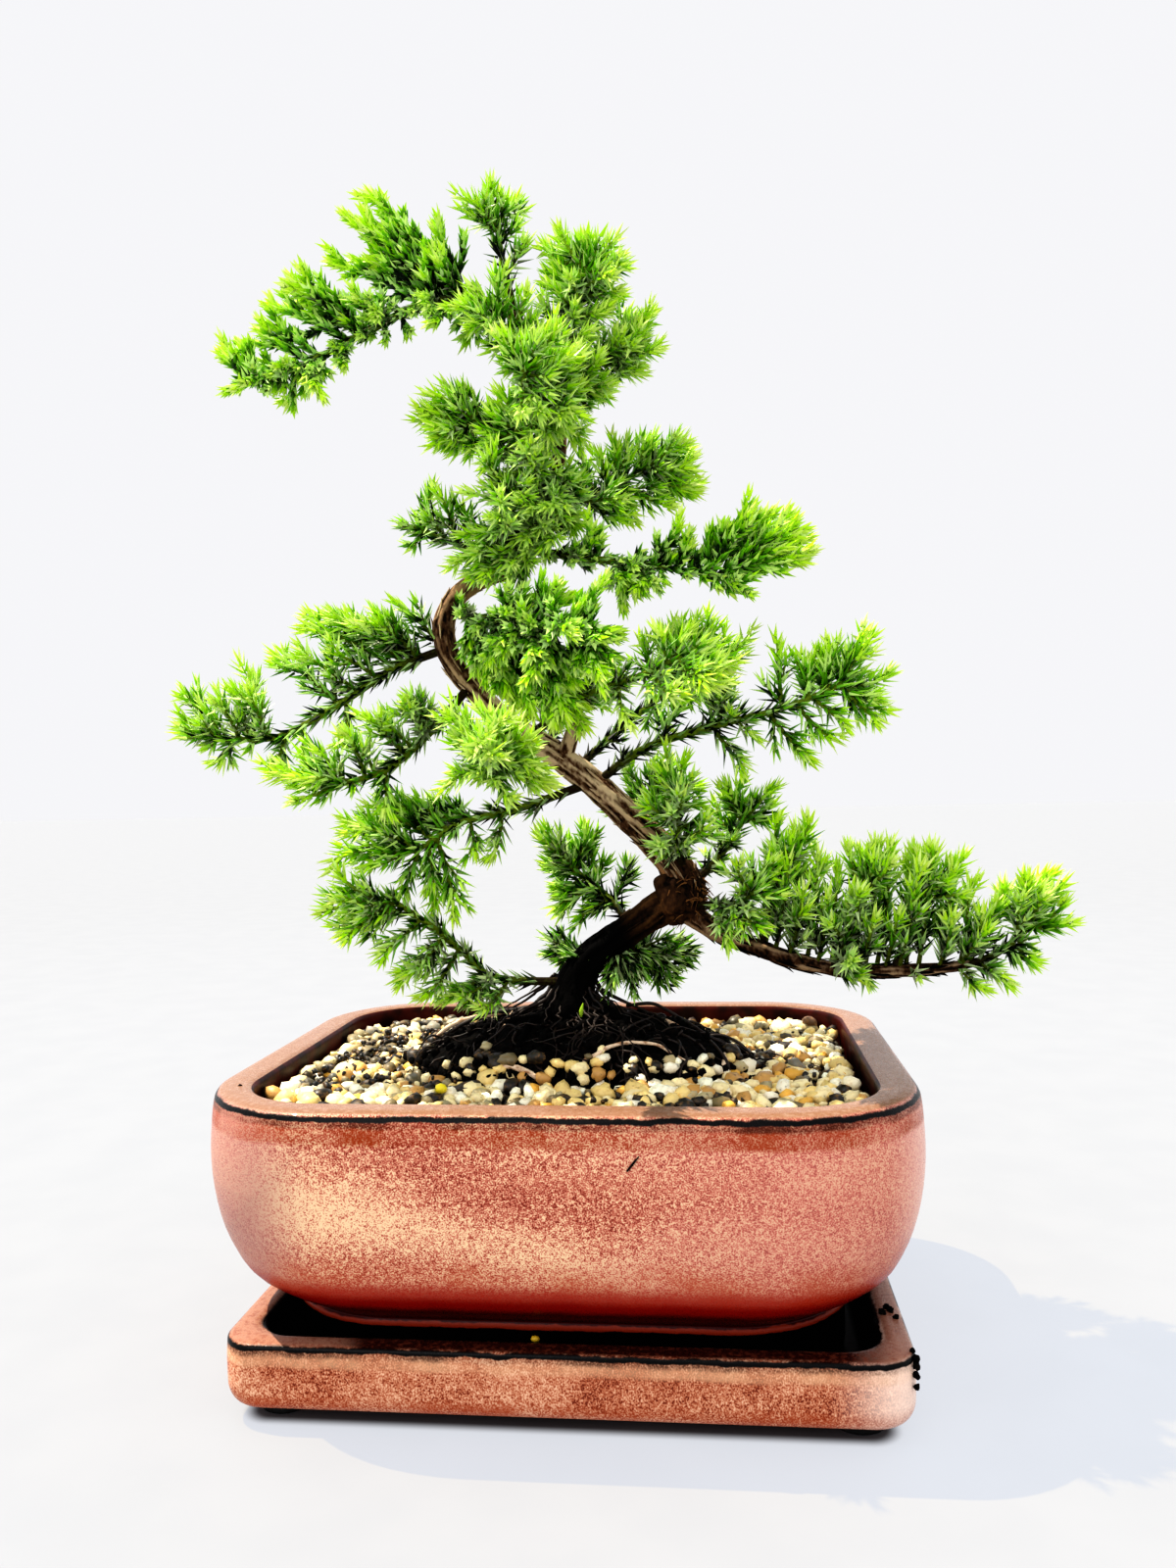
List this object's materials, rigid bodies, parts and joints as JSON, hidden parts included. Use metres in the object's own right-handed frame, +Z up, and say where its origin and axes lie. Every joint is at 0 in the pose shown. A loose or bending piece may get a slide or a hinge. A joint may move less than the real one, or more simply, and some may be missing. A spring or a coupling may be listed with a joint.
{
  "type": "potted bonsai tree",
  "caption": "Juniper bonsai with a bent trunk and spiky needle sprays, rooted in soil under gravel in a round-cornered glazed pot on a shallow drip tray.",
  "frame": {"origin": "on the table, below the middle of the whole object's bounding box", "axes": "+Z up, +X to the viewer's right along the pot's long side, -Y towards the viewer"},
  "size_m": [0.2518, 0.153, 0.3357],
  "materials": {
    "pot_glaze": "speckled copper-red glaze",
    "tray_glaze": "mottled tan and rust glaze",
    "rubber_feet": "matt black rubber",
    "drain_mesh": "black plastic mesh",
    "soil": "damp dark potting soil",
    "gravel": "cream and tan pebbles",
    "bark": "rough brown bark",
    "foliage": "green juniper needles"
  },
  "bodies": {
    "root": {"drain_mesh_left": "drain_mesh", "drain_mesh_right": "drain_mesh", "gravel": "gravel", "pot": "pot_glaze", "rubber_foot_back_left": "rubber_feet", "rubber_foot_back_right": "rubber_feet", "rubber_foot_front_left": "rubber_feet", "rubber_foot_front_right": "rubber_feet", "soil": "soil", "spray_above_knot": "foliage", "spray_above_knot_right": "foliage", "spray_back_lower": "foliage", "spray_back_upper": "foliage", "spray_base_left": "foliage", "spray_base_right": "foliage", "spray_centre_bright": "foliage", "spray_centre_front": "foliage", "spray_crown_back": "foliage", "spray_crown_front": "foliage", "spray_crown_left": "foliage", "spray_crown_outer": "foliage", "spray_crown_right": "foliage", "spray_front_bright": "foliage", "spray_inner_left": "foliage", "spray_knot_front": "foliage", "spray_left_front": "foliage", "spray_left_long": "foliage", "spray_left_small": "foliage", "spray_limb_end": "foliage", "spray_limb_first": "foliage", "spray_limb_second": "foliage", "spray_limb_third": "foliage", "spray_low_left": "foliage", "spray_low_left_upper": "foliage", "spray_mid_left": "foliage", "spray_right_long": "foliage", "spray_right_mid": "foliage", "spray_right_mid_back": "foliage", "spray_right_upper": "foliage", "spray_top_left": "foliage", "spray_top_shoot": "foliage", "spray_trunk_front": "foliage", "spray_trunk_left": "foliage", "tray": "tray_glaze", "wood": "bark"}
  },
  "joints": []
}
